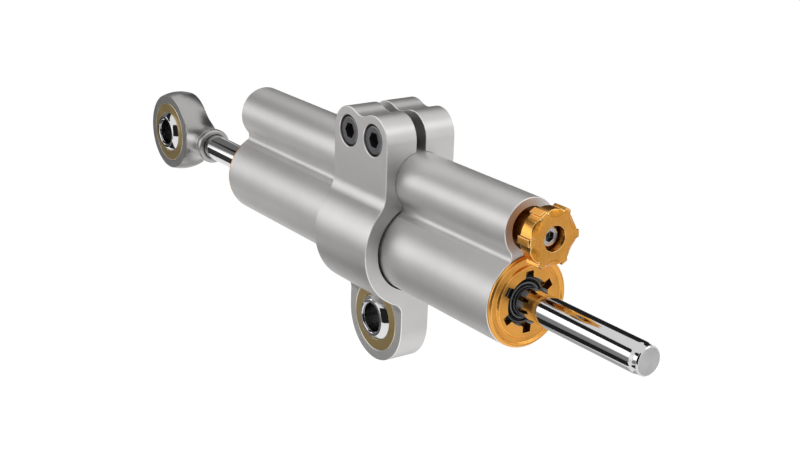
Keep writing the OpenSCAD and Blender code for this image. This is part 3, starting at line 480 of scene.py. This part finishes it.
def addCard(name, facts):
    # a grey or black card that only reflections see, as a studio uses them to shape chrome
    bm = bmesh.new()
    bmesh.ops.create_grid(bm, x_segments=1, y_segments=1, size=0.5)
    size = Matrix.Diagonal([side * mm for side in facts["size"]] + [1, 1])
    bmesh.ops.transform(bm, matrix=facing(facts["direction"], facts["far"]) @ size, verts=bm.verts)
    card = settle(bm, name)
    material, shader = stageMaterial(name, 0.0)
    shader.inputs["Emission Color"].default_value = whiteLight
    shader.inputs["Emission Strength"].default_value = facts["level"]
    card.data.materials.append(material)
    card.visible_camera = False
    card.visible_diffuse = False
    card.visible_shadow = False


setWorld()
setFloor()
for name, facts in softboxes.items():
    addSoftbox(name, facts)
for name, facts in cards.items():
    addCard(name, facts)
bpy.context.scene.view_settings.view_transform = "Standard"

print("clamp")
dress(refined("clamp_bracket", "clampBracket", edge=0.19), "clamp", "clampAlloy", "clamp_alloy", "alloyEdgeHighlight")
dress(refined("clamp_screws", "clampScrews", edge=0.08), "clamp", "screwSteel", "screw_steel", "screwEdgeHighlight")
dress(refined("lug_race", "lugRace", edge=0.14), "clamp", "raceLug", "race_bronze", "raceEdgeHighlight")

ball = {"edge": 0.06, "hole": 4.2}


def ballBoreShadeZone(place, normal):
    # 2 in the bolt hole, painted a dark steel as shade; the balls lie at the origin and at the rod end
    atLug = place.x > eyeX / 2
    across = place.x if atLug else place.x - eyeX
    height = place.z if atLug else place.z - mainZ
    return 2 if math.hypot(across, height) < ball["hole"] else 0


dress(refined("lug_ball", "lugBall", ball["edge"], zone=ballBoreShadeZone), "lug_bearing", "ballChrome", "ball_chrome",
      "ballChrome", "boreShadeSteel")

print("body")
dress(refined("damper_body", "damperBody", edge=0.18, angle=55), "cylinder", "bodyAlloy", "body_alloy",
      "alloyEdgeHighlight")

# radii and distances from the middle: the wiper's pocket before and after it is widened, and the wrench slots
gland = {"edge": 0.07, "pocket": 5.75, "pocketFrom": 54.0, "mouth": 6.4, "endFrom": 50.0, "slotReach": 8.3,
         "slotFloor": 8.0, "slotRoot": 6.2}
# profile of (height above the body's end, radius): outer rim, valley, inner lip on the rod
wiper = {"profile": [(-3.6, 4.38), (-3.6, 5.65), (-2.2, 5.7), (-1.6, 5.95), (-0.85, 5.95), (-0.6, 5.8),
                     (-0.75, 5.55), (-1.3, 5.3), (-1.1, 5.05), (-0.3, 4.75), (-0.12, 4.5), (-0.4, 4.25),
                     (-0.65, 4.06), (-1.3, 4.2), (-2.2, 4.38)],
         "softness": 0.12, "parts": 4, "steps": 160, "outerRidge": (5.66, -0.78), "innerRidge": (4.82, -0.38)}


def fromMain(place):
    return math.hypot(place.y, place.z - mainZ)


def widenMouth(bm):
    # opens the wiper's pocket to the width of the two-lip wiper
    for vert in bm.verts:
        place = vert.co / mm
        radius = fromMain(place)
        if abs(radius - gland["pocket"]) < 0.05 and abs(place.x) > gland["pocketFrom"]:
            share = gland["mouth"] / radius
            vert.co.y *= share
            vert.co.z = (mainZ + (place.z - mainZ) * share) * mm


def glandZone(place, normal):
    # 0 anodised, 2 the bare wall of the pocket, 3 inside the wrench slots, painted a dark gold as shade
    radius = fromMain(place)
    wall = abs(normal.x) < 0.5
    if abs(place.x) < gland["endFrom"] or radius > gland["slotReach"]:
        return 0
    if wall and radius < gland["mouth"]:
        return 2
    sunk = bodyEnds[0] < place.x < bodyEnds[1] and radius < gland["slotFloor"]
    return 3 if (wall or sunk) and radius > gland["slotRoot"] else 0


for side, end, flip in (("front", bodyEnds[1], False), ("rear", bodyEnds[0], True)):
    cap = refined(side + "_gland", side + "Gland", gland["edge"], reshape=widenMouth, zone=glandZone)
    dress(cap, "cylinder", "goldFront", "gold_alloy", "goldEdgeHighlight", "mouthAlloy", "slotGoldShade")
    profile = rounded(wiper["profile"], wiper["softness"], wiper["parts"])
    lips = turned(profile, side + "Wiper", wiper["steps"], (end, 0, mainZ), flip)
    for face in lips.data.polygons:
        place = face.center / mm
        height = abs(place.x) - abs(end)
        onOuter = fromMain(place) > wiper["outerRidge"][0] and height > wiper["outerRidge"][1]
        onInner = fromMain(place) < wiper["innerRidge"][0] and height > wiper["innerRidge"][1]
        face.material_index = 1 if onOuter or onInner else 0  # painted highlight: a lighter grey where the lips stand up
    dress(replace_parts(lips, side + "_wiper"), "cylinder", "wiperGloss", "wiper_plastic", "wiperRidgeHighlight")

print("adjuster")
knob = {"edge": 0.12, "bitesFrom": 65.9, "slope": (0.25, 0.95)}
knobScrew = {"edge": 0.06, "socketEnds": (63.0, 65.2), "socketRadius": 1.6}


def biteShadeZone(place, normal):
    # 2 on the sloping bites in the front edge, painted a darker gold as shade
    low, high = knob["slope"]
    return 2 if place.x > knob["bitesFrom"] and low < normal.x < high else 0


def socketShadeZone(place, normal):
    # 2 inside the hexagon of the knob's screw, painted the dark screw steel as shade
    low, high = knobScrew["socketEnds"]
    inside = math.hypot(place.y, place.z - tubeZ) < knobScrew["socketRadius"]
    return 2 if inside and low < place.x < high else 0


dress(refined("adjuster_knob", "adjusterKnob", knob["edge"], zone=biteShadeZone), "adjuster", "goldKnob",
      "gold_alloy", "knobEdgeHighlight", "biteGoldShade")
dress(refined("knob_screw", "knobScrew", knobScrew["edge"], zone=socketShadeZone), "adjuster", "brightSteel",
      "bright_steel", "brightSteel", "screwSteel")

print("rod")


def rodZone(place, normal):
    # 2 on the ground face of the free end
    return 2 if normal.x > 0.9 and place.x > bodyEnds[1] else 0


dress(refined("piston_rod", "pistonRod", edge=0.06, zone=rodZone), "rod", "rodChrome", "rod_chrome",
      "rodChrome", "rodFace")
dress(refined("rod_end", "rodEnd", edge=0.08, angle=50, merge=0.06), "rod", "eyeAlloy", "eye_alloy",
      "eyeEdgeHighlight")
dress(refined("rod_end_ball", "rodEndBall", ball["edge"], zone=ballBoreShadeZone), "rod_end_bearing", "ballChrome",
      "ball_chrome", "ballChrome", "boreShadeSteel")
dress(refined("rod_end_race", "rodEndRace", edge=0.14), "rod", "raceEye", "race_bronze", "raceEdgeHighlight")

print("inside")
spring = {"radius": 4.3, "wire": 0.45, "around": 12, "turns": 5, "perTurn": 32, "ends": (-62.64, -53.11),
          "height": tubeZ, "shortest": 5.0}
wound = dress(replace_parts(coil("compensatorSpring", spring), "compensator_spring"), "cylinder", "brightSteel",
              "bright_steel")
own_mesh(wound)

# nodes that need no finer copy only get their finish
kept = {
    "gland_o_rings": "sealRubber", "rod_bushes": "bushBronze",
    "rod_seals": "sealRubber", "seal_washers": "brightSteel", "piston": "pistonAlloy",
    "piston_band": "bandPlastic", "piston_o_ring": "sealRubber", "snap_rings": "screwSteel",
    "adjuster_shaft": "brightSteel", "adjuster_bush": "bushAlloy",
    "adjuster_o_rings": "sealRubber", "metering_needle": "brightSteel", "valve_seat": "valveBrass",
    "valve_seat_o_ring": "sealRubber", "detent_ball": "ballChrome", "detent_spring": "brightSteel",
    "reservoir_plug": "plainAlloy", "plug_o_ring": "sealRubber", "reservoir_circlip": "screwSteel",
    "separator_piston": "plainAlloy", "separator_o_ring": "sealRubber",
}
for node, finish in kept.items():
    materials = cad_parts[node].data.materials
    materials.clear()
    materials.append(finishes[finish])

print("done")
